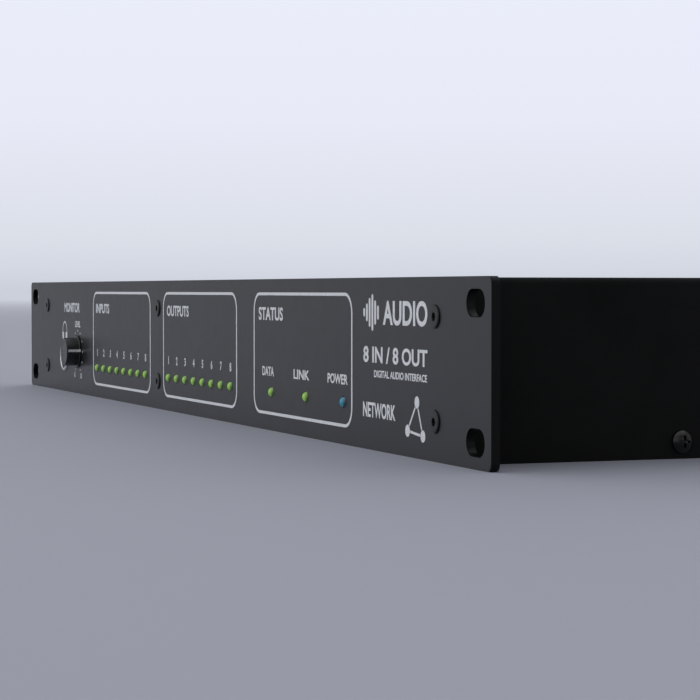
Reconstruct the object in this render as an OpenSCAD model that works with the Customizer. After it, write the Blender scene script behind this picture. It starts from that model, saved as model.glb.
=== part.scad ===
// 1U rack audio interface: eight inputs, eight outputs, network and headphone monitor.
// Millimetres. +Z up, front face towards -Y, origin on the floor below the middle of the bounding box.

/* [Rack panel] */
// Width of the front panel
panel_w = 482.6; // [482.6:0.1:483]
// Height of the front panel (one rack unit)
panel_h = 44; // [43.6:0.1:44.4]
// Thickness of the front panel
panel_t = 2.2; // [2:0.1:3]
// Corner radius of the front panel
panel_corner_r = 2; // [0.5:0.5:4]
// Rack slot spacing across the panel
slot_pitch_x = 465.1; // [464:0.1:466]
// Rack slot spacing up the panel
slot_pitch_z = 31.75; // [31.75:0.05:32]
// End-to-end length of a rack slot
slot_len = 10.5; // [8:0.5:11]
// Width of a rack slot
slot_w = 6.5; // [6:0.1:7]

/* [Enclosure] */
// Overall width of the enclosure behind the panel
body_w = 441; // [438:0.5:444]
// Overall height of the enclosure
body_h = 43.8; // [43:0.1:43.8]
// Depth from the panel's front face to the rear plate's outer face
body_depth = 171; // [171:1:171]
// Sheet steel thickness
sheet_t = 1; // [0.8:0.1:1.2]
// Outer bend radius of the cover
bend_r = 1.6; // [1.3:0.1:2.5]
// Distance of the front side screw behind the panel's face
side_screw_y = 59.8; // [50:0.1:70]
// Height of the side screws above the floor
side_screw_z = 4.2; // [4:0.1:5]
// Number of cooling slots in each side
vent_count = 9; // [4:1:10]

/* [Controls] */
// Level knob position, across the panel
knob_x = -155.6; // [-157:0.1:-154]
// Level knob position, above the floor
knob_z = 16.5; // [16:0.1:17.5]
// Knob body radius
knob_r = 5.5; // [5:0.05:5.8]
// Knob skirt radius
skirt_r = 6.4; // [6.2:0.1:7]
// How far the knob stands out of the panel
knob_len = 5.6; // [5:0.1:9]
// Angle of the knob's pointer above the horizontal, seen from the front
knob_angle = 5; // [-60:1:240]
// Headphone socket position, across the panel
jack_x = -177.8; // [-179:0.1:-177]
// Headphone socket position, above the floor
jack_z = 14; // [13.5:0.1:15]
// Radius of the headphone socket's bore (6.35 mm plug)
jack_bore_r = 3.25; // [3.2:0.05:3.3]
// Radius of the socket's chromed ring
jack_ring_r = 5.8; // [5.8:0.1:6.6]

/* [Lights] */
// Height of all lights above the floor
led_z = 11.2; // [10:0.1:12]
// Pitch of the channel lights
led_pitch = 10; // [9:0.5:10]
// Middle of the input lights
inputs_x = -88.3; // [-90:0.1:-86]
// Middle of the output lights
outputs_x = 11.4; // [10:0.1:13]
// First status light
status_x = 86.4; // [84:0.1:88]
// Pitch of the status lights
status_pitch = 30; // [25:1:30]
// Radius of a light's dome
led_r = 1.5; // [1.4:0.1:1.6]

/* [Rear connectors] */
// Mains inlet position, across the unit
inlet_x = 186; // [184:1:188]
// Middle height of the inlet and the switch
inlet_z = 22; // [21.5:0.5:22.5]
// Mains switch position, across the unit
switch_x = 146; // [144:1:148]
// Network socket positions, across the unit
rj_x = [82, 100];
// Terminal header positions, across the unit: two for outputs, two for inputs
header_x = [38, -28, -94, -160];
// Terminal pin pitch
pin_pitch = 5.08; // [5:0.08:5.08]
// Pins in each terminal header
pin_count = 12; // [10:1:12]

/* [Hidden] */
$fn = 64;
screw_cols = [-209, -37, 209];
screw_rows = [9.5, 34.5];
rear_y = body_depth;               // outer face of the rear plate
plate_y = rear_y - sheet_t;        // inner face of the rear plate
wall_y = panel_t + sheet_t;        // inner face of the tray's front wall
inner_x = body_w / 2 - sheet_t;    // inside of the cover's sides
tray_x = inner_x - 0.1;            // outside of the tray's side flanges
top_in = body_h - sheet_t;         // underside of the cover's top
pcb_t = 1.6;
board_z = 7;                       // underside of the main and supply boards
board_top = board_z + pcb_t;
mon_z = 3.6;                       // underside of the monitor board
mon_top = mon_z + 1.6;
led_board_y = 10;                  // front face of the light board
led_xs = [for (i = [0:7]) (i - 3.5) * led_pitch];
status_xs = [for (i = [0:2]) status_x + i * status_pitch];
all_led_x = concat([for (x = led_xs) inputs_x + x], [for (x = led_xs) outputs_x + x], status_xs);
header_w = (pin_count - 1) * pin_pitch + 5.7;
header_h = 8.4;
header_y0 = rear_y - 11;           // back wall face of a header's pocket
main_x = [-198, 112];
main_y = [58, plate_y - 1.2];
main_holes = [for (x = [-192, -44, 106]) for (y = [64, 148]) [x, y]];
psu_x = [124, 214];
psu_y = [24, 136];
psu_holes = [for (x = [129, 209]) for (y = [29, 131]) [x, y]];
mon_holes = [[-190, 9.5], [-190, 41], [-146, 41]];
side_screw_ys = [side_screw_y, 140];
top_screw_xs = [-180, 0, 180];
stud_pos = [205, 150];             // earth stud on the tray floor
pocket_w = 24.4;                   // mains inlet pocket
pocket_h = 16.2;
pocket_z = inlet_z + 4.6;
pocket_depth = 20;
blade_len = 15;
drawer_z = inlet_z - 9.4;
drawer_w = 24;
drawer_h = 6.4;
drawer_len = 24;
rocker_tilt = 10;
rocker_y = rear_y - 2.6;           // rocker pivot axis
rocker_r = 8.2;                    // outline radius of the rocker about its pivot
hollow_r = 26;                     // radius of the rocker's finger hollow
hollow_y = 30;                     // centre of that radius behind the pivot
rim_y = (hollow_y * hollow_y + rocker_r * rocker_r - hollow_r * hollow_r) / (2 * hollow_y);
rim_z = sqrt(rocker_r * rocker_r - rim_y * rim_y);
rear_most = rocker_y + rim_y * cos(rocker_tilt) + rim_z * sin(rocker_tilt);
y_shift = -(rear_most - knob_len) / 2;

// ---------- helpers ----------
module box(x, y, z) translate([x[0], y[0], z[0]]) cube([x[1] - x[0], y[1] - y[0], z[1] - z[0]]);
module cyl_y(r, x, y, z, fn = 64) translate([x, y[0], z]) rotate([-90, 0, 0]) cylinder(r = r, h = y[1] - y[0], $fn = fn);
module cyl_x(r, x, y, z, fn = 64) translate([x[0], y, z]) rotate([0, 90, 0]) cylinder(r = r, h = x[1] - x[0], $fn = fn);
module cyl_z(r, x, y, z, fn = 64) translate([x, y, z[0]]) cylinder(r = r, h = z[1] - z[0], $fn = fn);
module cone_y(r1, r2, x, y, z) translate([x, y[0], z]) rotate([-90, 0, 0]) cylinder(r1 = r1, r2 = r2, h = y[1] - y[0]);

// A slot that runs through along Y, long along X
module slot_y(x, z, len, w, y) {
    d = (len - w) / 2;
    for (s = [-1, 1]) cyl_y(w / 2, x + s * d, y, z);
    box([x - d, x + d], y, [z - w / 2, z + w / 2]);
}
// A slot that runs through along X, tall along Z
module slot_x(y, z, len, w, x) {
    d = (len - w) / 2;
    for (s = [-1, 1]) cyl_x(w / 2, x, y, z + s * d);
    box(x, [y - w / 2, y + w / 2], [z - d, z + d]);
}
// Rounded rectangle, centred, made of squares and circles
module rounded(w, h, r) {
    square([w - 2 * r, h], center = true);
    square([w, h - 2 * r], center = true);
    for (x = [-1, 1]) for (y = [-1, 1]) translate([x * (w / 2 - r), y * (h / 2 - r)]) circle(r);
}
// The 2D child drawn in X and Z, made solid from y[0] to y[1]
module plate_y_dir(y) translate([0, y[1], 0]) rotate([90, 0, 0]) linear_extrude(y[1] - y[0]) children();
// Pan-head screw along +Z from its seat: head above z = 0, shank below, cross recess
module pan_screw(shank, r = 1.5, head_r = 2.75, head_h = 1.9) {
    cap_h = head_h - 0.7;
    cap_r = (head_r * head_r + cap_h * cap_h) / (2 * cap_h);
    difference() {
        union() {
            cylinder(r = head_r, h = 0.7);
            intersection() {
                translate([0, 0, head_h - cap_r]) sphere(r = cap_r);
                translate([0, 0, 0.7]) cylinder(r = head_r, h = cap_h + 1);
            }
            translate([0, 0, -shank]) cylinder(r = r, h = shank);
        }
        for (a = [0, 90]) rotate(a) translate([-1.5, -0.33, head_h - 1.2]) cube([3, 0.66, 2]);
    }
}
// Countersunk screw along +Z with its head's rim at z = 0; raise > 0 gives a flat head standing proud with a chamfered edge
module flat_screw(shank, raise = 0, r = 1.5, head_r = 2.75, hex = true) {
    difference() {
        union() {
            translate([0, 0, -(head_r - r)]) cylinder(r1 = r, r2 = head_r, h = head_r - r);
            translate([0, 0, -shank]) cylinder(r = r, h = shank - (head_r - r));
            if (raise > 0) {
                cylinder(r = head_r, h = raise - 0.2);
                translate([0, 0, raise - 0.2]) cylinder(r1 = head_r, r2 = head_r - 0.25, h = 0.2);
            }
        }
        if (hex) translate([0, 0, raise - 1.3]) cylinder(r = 1.16, h = 3, $fn = 6);
        else for (a = [0, 90]) rotate(a) translate([-1.5, -0.33, raise - 1.2]) cube([3, 0.66, 2]);
    }
}

// ---------- front ----------
module front_panel() color([0.16, 0.17, 0.18]) difference() {
    plate_y_dir([0, panel_t]) translate([0, panel_h / 2]) rounded(panel_w, panel_h, panel_corner_r);
    for (x = [-1, 1]) for (z = [-1, 1])
        slot_y(x * slot_pitch_x / 2, panel_h / 2 + z * slot_pitch_z / 2, slot_len, slot_w, [-1, panel_t + 1]);
    for (x = screw_cols) for (z = screw_rows) {
        cyl_y(1.65, x, [-1, panel_t + 1], z);
        cone_y(2.95, 1.6, x, [-0.01, 1.34], z);
    }
    for (x = all_led_x) cyl_y(led_r + 0.1, x, [-1, panel_t + 1], led_z);
    cyl_y(5.7, knob_x, [-1, panel_t + 1], knob_z);
    cyl_y(4.65, jack_x, [-1, panel_t + 1], jack_z);
}
module front_panel_screws() color([0.05, 0.05, 0.05])
    for (x = screw_cols) for (z = screw_rows) translate([x, 0, z]) rotate([90, 0, 0]) flat_screw(7.2, raise = 0.5);

// ---------- enclosure ----------
module chassis_base() color([0.09, 0.09, 0.095]) difference() {
    union() {
        box([-tray_x, tray_x], [panel_t, rear_y], [0, sheet_t]);
        box([-tray_x, tray_x], [panel_t, wall_y], [0, top_in - 1]);
        box([-tray_x + 1, tray_x - 1], [panel_t, wall_y], [top_in - 1.5, top_in - 0.1]);
        box([-tray_x + 1, tray_x - 1], [panel_t, panel_t + 12], [top_in - 0.1 - sheet_t, top_in - 0.1]);
        for (s = [-1, 1]) box(s > 0 ? [tray_x - sheet_t, tray_x] : [-tray_x, -tray_x + sheet_t], [panel_t, plate_y - 0.2], [0, 11]);
    }
    for (x = screw_cols) for (z = screw_rows) cyl_y(1.65, x, [panel_t - 1, wall_y + 1], z);
    for (x = all_led_x) cyl_y(2.1, x, [panel_t - 1, wall_y + 1], led_z);
    cyl_y(3.6, knob_x, [panel_t - 1, wall_y + 1], knob_z);
    cyl_y(4.65, jack_x, [panel_t - 1, wall_y + 1], jack_z);
    for (s = [-1, 1]) for (y = side_screw_ys) cyl_x(1.65, s > 0 ? [tray_x - 2, tray_x + 1] : [-tray_x - 1, -tray_x + 2], y, side_screw_z);
}
module header_cut(x) box([x - header_w / 2 - 0.2, x + header_w / 2 + 0.2], [plate_y - 1, rear_y + 1], [board_top - 0.2, board_top + header_h + 0.2]);
module rear_panel() color([0.09, 0.09, 0.095]) difference() {
    union() {
        box([-tray_x, tray_x], [plate_y, rear_y], [sheet_t, top_in - 1]);
        box([-tray_x + 1, tray_x - 1], [plate_y, rear_y], [top_in - 1.5, top_in - 0.05]);
        box([-tray_x + 1, tray_x - 1], [plate_y - 13, plate_y], [top_in - 0.05 - sheet_t, top_in - 0.05]);
        box([-tray_x + 1.2, tray_x - 1.2], [plate_y - 8, plate_y], [sheet_t, 2 * sheet_t]);
    }
    for (x = header_x) header_cut(x);
    for (x = rj_x) box([x - 8.2, x + 8.2], [plate_y - 1, rear_y + 1], [board_top - 0.2, board_top + 13.8]);
    box([inlet_x - 14.2, inlet_x + 14.2], [plate_y - 1, rear_y + 1], [inlet_z - 13.6, inlet_z + 13.6]);
    for (s = [-1, 1]) cyl_y(1.65, inlet_x + s * 20, [plate_y - 1, rear_y + 1], inlet_z);
    box([switch_x - 6.6, switch_x + 6.6], [plate_y - 1, rear_y + 1], [inlet_z - 9.7, inlet_z + 9.7]);
    for (x = top_screw_xs) cyl_z(1.9, x, rear_y - 7, [top_in - 3, top_in + 1]);
}
module cover_profile(w, h, r) {
    translate([-(w / 2 - r), 0]) square([w - 2 * r, h]);
    translate([-w / 2, 0]) square([w, h - r]);
    for (s = [-1, 1]) translate([s * (w / 2 - r), h - r]) circle(r);
}
module top_cover() color([0.06, 0.06, 0.062]) difference() {
    plate_y_dir([panel_t, rear_y]) difference() {
        cover_profile(body_w, body_h, bend_r);
        translate([0, -1]) cover_profile(2 * inner_x, top_in + 1, bend_r - sheet_t);
    }
    for (s = [-1, 1]) for (y = side_screw_ys) cyl_x(1.7, s > 0 ? [inner_x - 1, body_w / 2 + 1] : [-body_w / 2 - 1, -inner_x + 1], y, side_screw_z);
    for (s = [-1, 1]) for (i = [0:vent_count - 1]) slot_x(88 + i * 6, 24, 22, 2.4, s > 0 ? [inner_x - 1, body_w / 2 + 1] : [-body_w / 2 - 1, -inner_x + 1]);
    for (x = top_screw_xs) translate([x, rear_y - 7, 0]) {
        cyl_z(1.75, 0, 0, [top_in - 1, body_h + 1]);
        translate([0, 0, body_h - sheet_t]) cylinder(r1 = 1.9, r2 = 2.92, h = sheet_t + 0.01);
    }
}
module cover_side_screws() color([0.05, 0.05, 0.05])
    for (s = [-1, 1]) for (y = side_screw_ys) translate([s * body_w / 2, y, side_screw_z]) rotate([0, s * 90, 0]) pan_screw(5.5);
module cover_top_screws() color([0.05, 0.05, 0.05])
    for (x = top_screw_xs) translate([x, rear_y - 7, body_h]) flat_screw(6, hex = false);
module clinch_nuts() color([0.75, 0.75, 0.72]) {
    for (x = screw_cols) for (z = screw_rows) difference() {
        cyl_y(3, x, [wall_y, wall_y + 2.2], z);
        cyl_y(1.56, x, [wall_y - 1, wall_y + 4], z);
    }
    for (s = [-1, 1]) for (y = side_screw_ys) difference() {
        cyl_x(3, s > 0 ? [tray_x - sheet_t - 2.2, tray_x - sheet_t] : [-tray_x + sheet_t, -tray_x + sheet_t + 2.2], y, side_screw_z);
        cyl_x(1.56, s > 0 ? [tray_x - 5, tray_x] : [-tray_x, -tray_x + 5], y, side_screw_z);
    }
    for (x = top_screw_xs) difference() {
        cyl_z(3, x, rear_y - 7, [top_in - 0.05 - sheet_t - 2.2, top_in - 0.05 - sheet_t]);
        cyl_z(1.56, x, rear_y - 7, [top_in - 6, top_in]);
    }
}

// ---------- level control ----------
module at_knob() translate([knob_x, 0, knob_z]) rotate([0, -knob_angle, 0]) children();
module level_knob() color([0.035, 0.035, 0.038]) difference() {
    union() {
        cyl_y(skirt_r - 0.25, knob_x, [-0.8, -0.2], knob_z, 96);
        cyl_y(skirt_r, knob_x, [-0.6, -0.2], knob_z, 96);
        cyl_y(knob_r, knob_x, [-knob_len + 0.35, -0.8], knob_z, 96);
        cone_y(knob_r - 0.35, knob_r, knob_x, [-knob_len, -knob_len + 0.35], knob_z);
    }
    cyl_y(3.02, knob_x, [-knob_len + 1.2, 0], knob_z);
    at_knob() {
        box([knob_r - 0.5, knob_r + 3], [-knob_len + 0.55, 0.5], [-0.5, 0.5]);
    }
}
// A light line inlaid along the knob's side and across its skirt
module level_knob_pointer() color([0.85, 0.85, 0.85]) at_knob() {
    box([knob_r - 0.5, knob_r - 0.03], [-knob_len + 0.55, -0.2], [-0.5, 0.5]);
    box([knob_r - 0.5, skirt_r - 0.28], [-0.8, -0.2], [-0.5, 0.5]);
    box([knob_r - 0.5, skirt_r - 0.03], [-0.6, -0.2], [-0.5, 0.5]);
}
module level_pot_shaft() color([0.7, 0.7, 0.68]) union() {
    cyl_y(3, knob_x, [-knob_len + 1.2, 5.4], knob_z);
    cyl_y(4.6, knob_x, [5.4, 6.6], knob_z);
}
module level_pot() color([0.55, 0.56, 0.57]) {
    difference() {
        union() {
            cyl_y(8, knob_x, [wall_y, 12.5], knob_z);
            cyl_y(3.5, knob_x, [0.5, wall_y], knob_z);
        }
        cyl_y(3.05, knob_x, [-1, 5], knob_z);
        cyl_y(4.8, knob_x, [4.9, 7.1], knob_z);
    }
    for (x = [-5, 0, 5]) box([knob_x + x - 0.6, knob_x + x + 0.6], [12.5, 13.3], [mon_top, knob_z - 2]);
}
module level_pot_nut() color([0.78, 0.78, 0.75]) difference() {
    cyl_y(5.2, knob_x, [0.6, panel_t], knob_z, 6);
    cyl_y(3.56, knob_x, [0, panel_t + 1], knob_z);
}

// ---------- headphone socket ----------
module headphone_jack() color([0.05, 0.05, 0.05]) {
    difference() {
        union() {
            cyl_y(4.5, jack_x, [-0.6, wall_y + 0.5], jack_z);
            box([jack_x - 8, jack_x + 8], [wall_y, 36], [jack_z - 6.8, jack_z + 7.6]);
        }
        cyl_y(jack_bore_r, jack_x, [-2, 32], jack_z);
    }
    for (y = [10, 20, 30]) for (s = [-1, 1]) box([jack_x + s * 6 - 0.7, jack_x + s * 6 + 0.7], [y, y + 1], [mon_top, jack_z - 6.8]);
}
module headphone_jack_ring() color([0.85, 0.85, 0.87]) difference() {
    union() {
        cyl_y(jack_ring_r, jack_x, [-0.35, 0], jack_z, 96);
        cone_y(jack_ring_r - 0.8, jack_ring_r, jack_x, [-0.8, -0.35], jack_z);
    }
    cyl_y(4.56, jack_x, [-2, 1], jack_z);
}
module monitor_board() color([0.05, 0.3, 0.12]) difference() {
    box([-196, -142], [4.6, 46], [mon_z, mon_top]);
    for (h = mon_holes) cyl_z(1.65, h[0], h[1], [mon_z - 1, mon_top + 1]);
}
module monitor_board_standoffs() color([0.75, 0.75, 0.72]) for (h = mon_holes) {
    difference() {
        cyl_z(2.75, h[0], h[1], [sheet_t, mon_z], 6);
        cyl_z(1.3, h[0], h[1], [sheet_t + 0.5, mon_z + 1]);
    }
    difference() {
        cyl_z(2.6, h[0], h[1], [mon_top, mon_top + 1.6]);
        box([h[0] - 1.6, h[0] + 1.6], [h[1] - 0.35, h[1] + 0.35], [mon_top + 0.8, mon_top + 3]);
    }
}
module headphone_amplifier() color([0.06, 0.06, 0.06]) {
    box([-166, -156], [26, 33], [mon_top, mon_top + 2.2]);
    for (x = [-163, -157]) cyl_z(2.5, x, 39.5, [mon_top, mon_top + 8]);
    cyl_z(2.5, -150, 30, [mon_top, mon_top + 8]);
}

// ---------- lights ----------
module led(x) {
    cyl_y(led_r, x, [0.5, 4.4], led_z, 48);
    intersection() {
        translate([x, 0.5, led_z]) sphere(r = led_r, $fn = 48);
        cyl_y(led_r + 0.5, x, [-3, 0.5], led_z);
    }
    cyl_y(1.95, x, [4.4, 5.4], led_z, 48);
    for (s = [-1, 1]) box([x + s * 1.0 - 0.25, x + s * 1.0 + 0.25], [5.4, led_board_y], [led_z - 0.25, led_z + 0.25]);
}
module input_leds() color([0.35, 0.75, 0.12]) for (x = led_xs) led(inputs_x + x);
module output_leds() color([0.35, 0.75, 0.12]) for (x = led_xs) led(outputs_x + x);
module status_leds() color([0.35, 0.75, 0.12]) for (i = [0:1]) led(status_xs[i]);
module power_led() color([0.1, 0.55, 0.75]) led(status_xs[2]);
module led_spacers() color([0.08, 0.08, 0.08]) for (x = all_led_x) difference() {
    cyl_y(2.3, x, [5.4, led_board_y], led_z);
    cyl_y(1.5, x, [5, led_board_y + 1], led_z);
}
pillar_pos = [[-136, 34], [-60, 34], [60, 34], [166, 34], [-136, 5.5], [60, 5.5], [166, 5.5]];
module led_board() color([0.05, 0.3, 0.12]) difference() {
    box([-140, 170], [led_board_y, led_board_y + pcb_t], [2.5, 38.5]);
    for (p = pillar_pos) cyl_y(1.6, p[0], [led_board_y - 1, led_board_y + 3], p[1]);
}
module led_board_pillars() color([0.75, 0.75, 0.72]) for (p = pillar_pos) {
    cyl_y(2.6, p[0], [wall_y, led_board_y], p[1], 6);
    cyl_y(1.5, p[0], [led_board_y, led_board_y + pcb_t], p[1]);
    cyl_y(2.6, p[0], [led_board_y + pcb_t, led_board_y + pcb_t + 1.5], p[1]);
}

// ---------- main board ----------
module main_board() color([0.05, 0.3, 0.12]) difference() {
    box(main_x, main_y, [board_z, board_top]);
    for (h = main_holes) cyl_z(1.65, h[0], h[1], [board_z - 1, board_top + 1]);
}
module board_standoffs() color([0.75, 0.75, 0.72]) for (h = concat(main_holes, psu_holes)) difference() {
    cyl_z(2.9, h[0], h[1], [sheet_t, board_z], 6);
    cyl_z(1.55, h[0], h[1], [sheet_t + 0.6, board_z + 1]);
}
module board_screws() color([0.75, 0.75, 0.72]) for (h = concat(main_holes, psu_holes)) translate([h[0], h[1], board_top]) pan_screw(5);
dsp = [-40, 104];
module signal_processor() color([0.06, 0.06, 0.06]) {
    box([dsp[0] - 12, dsp[0] + 12], [dsp[1] - 12, dsp[1] + 12], [board_top, board_top + 2.2]);
    for (s = [-1, 1]) for (i = [-5:5]) {
        box([dsp[0] + i * 2 - 0.4, dsp[0] + i * 2 + 0.4], s > 0 ? [dsp[1] + 12, dsp[1] + 14] : [dsp[1] - 14, dsp[1] - 12], [board_top, board_top + 0.8]);
    }
}
module processor_heatsink() color([0.12, 0.12, 0.13]) {
    box([dsp[0] - 14, dsp[0] + 14], [dsp[1] - 14, dsp[1] + 14], [board_top + 2.2, board_top + 5]);
    for (i = [-4:4]) box([dsp[0] + i * 3.2 - 0.6, dsp[0] + i * 3.2 + 0.6], [dsp[1] - 14, dsp[1] + 14], [board_top + 4, board_top + 17]);
}
netm = [62, 108];
module network_module() color([0.03, 0.12, 0.3]) {
    box([netm[0] - 24, netm[0] + 24], [netm[1] - 17, netm[1] + 17], [board_top + 5, board_top + 6.4]);
    box([netm[0] - 9, netm[0] + 9], [netm[1] - 9, netm[1] + 9], [board_top + 6.4, board_top + 8.2]);
    box([netm[0] + 13, netm[0] + 19], [netm[1] - 6, netm[1] + 6], [board_top + 6.4, board_top + 7.6]);
}
module network_module_sockets() color([0.07, 0.07, 0.07]) for (s = [-1, 1])
    box([netm[0] + s * 20.5 - 2.5, netm[0] + s * 20.5 + 2.5], [netm[1] - 14, netm[1] + 14], [board_top, board_top + 5]);
module converter_chips() color([0.06, 0.06, 0.06]) for (x = [-176, -144, -112, -80, 0, 18])
    box([x - 5, x + 5], [96, 106], [board_top, board_top + 1.4]);
module amplifier_chips() color([0.06, 0.06, 0.06]) for (hx = header_x) for (i = [-3:2])
    box([hx + i * 9 + 2, hx + i * 9 + 7], [128, 133], [board_top, board_top + 1.6]);
module mute_relays() color([0.9, 0.88, 0.8]) for (i = [0:1]) for (k = [-1.5:1:1.5])
    box([header_x[i] + k * 14 - 5, header_x[i] + k * 14 + 5], [137, 144.5], [board_top, board_top + 8]);
module filter_capacitors() color([0.1, 0.1, 0.13]) {
    for (i = [2:3]) for (k = [-3.5:1:3.5]) cyl_z(2.5, header_x[i] + k * 7, 141, [board_top, board_top + 9], 32);
    for (x = [-186, -162, -130, -98]) cyl_z(4, x, 76, [board_top, board_top + 12], 32);
    for (x = [-8, 8, 24]) cyl_z(4, x, 76, [board_top, board_top + 12], 32);
}

// ---------- rear sockets ----------
module network_jacks() color([0.72, 0.73, 0.74]) for (x = rj_x) difference() {
    box([x - 8, x + 8], [rear_y - 20, rear_y + 0.8], [board_top, board_top + 13.6]);
    box([x - 5.9, x + 5.9], [rear_y - 14, rear_y + 2], [board_top + 4.2, board_top + 12]);
    box([x - 3.2, x + 3.2], [rear_y - 10, rear_y + 2], [board_top + 2.6, board_top + 4.3]);
    box([x - 1.8, x + 1.8], [rear_y - 8, rear_y + 2], [board_top + 1.2, board_top + 2.7]);
}
module network_jack_contacts() color([0.85, 0.68, 0.25]) for (x = rj_x) for (i = [-3.5:1:3.5])
    box([x + i * 1.02 - 0.2, x + i * 1.02 + 0.2], [rear_y - 14, rear_y - 5.5], [board_top + 11, board_top + 11.5]);
module header(x) difference() {
    box([x - header_w / 2, x + header_w / 2], [header_y0 - 2, rear_y + 1], [board_top, board_top + header_h]);
    box([x - header_w / 2 + 0.9, x + header_w / 2 - 0.9], [header_y0, rear_y + 2], [board_top + 0.8, board_top + header_h - 0.8]);
    for (i = [0:pin_count - 1]) {
        px = x + (i - (pin_count - 1) / 2) * pin_pitch;
        box([px - 0.5, px + 0.5], [header_y0 - 3, header_y0 + 1], [board_top + header_h / 2 - 0.5, board_top + header_h / 2 + 0.5]);
        box([px - 1.1, px + 1.1], [header_y0 + 3, rear_y + 2], [board_top + header_h - 1, board_top + header_h - 0.35]);
    }
}
module output_terminals() color([0.06, 0.06, 0.065]) for (i = [0:1]) header(header_x[i]);
module input_terminals() color([0.06, 0.06, 0.065]) for (i = [2:3]) header(header_x[i]);
module terminal_pins() color([0.8, 0.8, 0.78]) for (hx = header_x) for (i = [0:pin_count - 1]) {
    px = hx + (i - (pin_count - 1) / 2) * pin_pitch;
    box([px - 0.5, px + 0.5], [header_y0 - 4.5, header_y0 + 6.4], [board_top + header_h / 2 - 0.5, board_top + header_h / 2 + 0.5]);
    box([px - 0.5, px + 0.5], [header_y0 - 4.5, header_y0 - 3.5], [board_top, board_top + header_h / 2 + 0.5]);
}

// ---------- power supply ----------
module power_supply_board() color([0.28, 0.2, 0.06]) difference() {
    box(psu_x, psu_y, [board_z, board_top]);
    for (h = psu_holes) cyl_z(1.65, h[0], h[1], [board_z - 1, board_top + 1]);
}
tr = [158, 78];
module transformer_windings() color([0.75, 0.6, 0.1]) difference() {
    union() {
        box([tr[0] - 13, tr[0] + 13], [tr[1] - 17, tr[1] + 17], [board_top, board_top + 3]);
        cyl_z(11, tr[0], tr[1], [board_top + 3, board_top + 17]);
        box([tr[0] - 12, tr[0] + 12], [tr[1] - 12, tr[1] + 12], [board_top + 17, board_top + 18.5]);
    }
    cyl_z(6.1, tr[0], tr[1], [board_top - 1, board_top + 20]);
}
module transformer_core() color([0.14, 0.14, 0.14]) difference() {
    union() {
        cyl_z(6, tr[0], tr[1], [board_top + 0.1, board_top + 19]);
        box([tr[0] - 7, tr[0] + 7], [tr[1] - 17.5, tr[1] + 17.5], [board_top + 18.6, board_top + 23]);
        for (s = [-1, 1]) box([tr[0] - 7, tr[0] + 7], s > 0 ? [tr[1] + 12.3, tr[1] + 17.5] : [tr[1] - 17.5, tr[1] - 12.3], [board_top + 3.1, board_top + 20]);
    }
}
module bulk_capacitor() color([0.08, 0.1, 0.2]) difference() {
    cyl_z(9, 199, 94, [board_top, board_top + 26]);
    for (a = [0, 90]) translate([199, 94, board_top + 25.8]) rotate(a) translate([-6, -0.2, 0]) cube([12, 0.4, 1]);
}
module supply_output_capacitors() color([0.08, 0.1, 0.2]) for (p = [[135, 42], [148, 42], [135, 56]]) cyl_z(5, p[0], p[1], [board_top, board_top + 20]);
module supply_heatsink() color([0.65, 0.66, 0.67]) {
    box([178, 181], [54, 104], [board_top, board_top + 28]);
    for (i = [0:5]) box([181, 188], [55 + i * 9.2, 56.6 + i * 9.2], [board_top + 3, board_top + 28]);
}
module line_filter_choke() color([0.7, 0.35, 0.12]) {
    translate([200, 118, board_top + 9]) rotate([90, 0, 0]) rotate_extrude() translate([6.5, 0]) circle(2.4);
    box([193, 207], [115.4, 120.6], [board_top, board_top + 0.6]);
}

// ---------- mains inlet, fuse and switch ----------
module mains_inlet() color([0.05, 0.05, 0.05]) difference() {
    union() {
        box([inlet_x - 25, inlet_x + 25], [rear_y, rear_y + 2], [inlet_z - 11, inlet_z + 11]);
        box([inlet_x - 15.5, inlet_x + 15.5], [rear_y, rear_y + 2], [inlet_z - 15, inlet_z + 15]);
        box([inlet_x - 14, inlet_x + 14], [rear_y - pocket_depth - 3, rear_y + 0.5], [inlet_z - 13.4, inlet_z + 13.4]);
    }
    difference() {
        box([inlet_x - pocket_w / 2, inlet_x + pocket_w / 2], [rear_y + 2 - pocket_depth, rear_y + 3], [pocket_z - pocket_h / 2, pocket_z + pocket_h / 2]);
        for (s = [-1, 1]) translate([inlet_x + s * pocket_w / 2, rear_y - 10, pocket_z + pocket_h / 2]) rotate([0, 45, 0]) cube([6, 40, 6], center = true);
    }
    for (s = [-1, 1]) {
        cyl_y(1.7, inlet_x + s * 20, [rear_y - 1, rear_y + 3], inlet_z);
        cone_y(1.5, 2.95, inlet_x + s * 20, [rear_y + 0.56, rear_y + 2.01], inlet_z);
    }
    box([inlet_x - drawer_w / 2 - 0.2, inlet_x + drawer_w / 2 + 0.2], [rear_y + 0.8 - drawer_len, rear_y + 3], [drawer_z - drawer_h / 2 - 0.2, drawer_z + drawer_h / 2 + 0.2]);
    for (p = [[0, 2], [-7, -2], [7, -2]]) box([inlet_x + p[0] - 1, inlet_x + p[0] + 1], [rear_y - 30, rear_y], [pocket_z + p[1] - 2, pocket_z + p[1] + 2]);
}
module mains_inlet_blades() color([0.8, 0.78, 0.7]) for (p = [[0, 2], [-7, -2], [7, -2]])
    box([inlet_x + p[0] - 1, inlet_x + p[0] + 1], [rear_y - 32, rear_y + 2 - pocket_depth + blade_len], [pocket_z + p[1] - 2, pocket_z + p[1] + 2]);
module mains_inlet_screws() color([0.05, 0.05, 0.05]) for (s = [-1, 1]) {
    translate([inlet_x + s * 20, rear_y + 2, inlet_z]) rotate([-90, 0, 0]) flat_screw(8, hex = false);
    difference() {
        cyl_y(3, inlet_x + s * 20, [plate_y - 2.4, plate_y], inlet_z, 6);
        cyl_y(1.56, inlet_x + s * 20, [plate_y - 4, plate_y + 1], inlet_z);
    }
}
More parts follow.
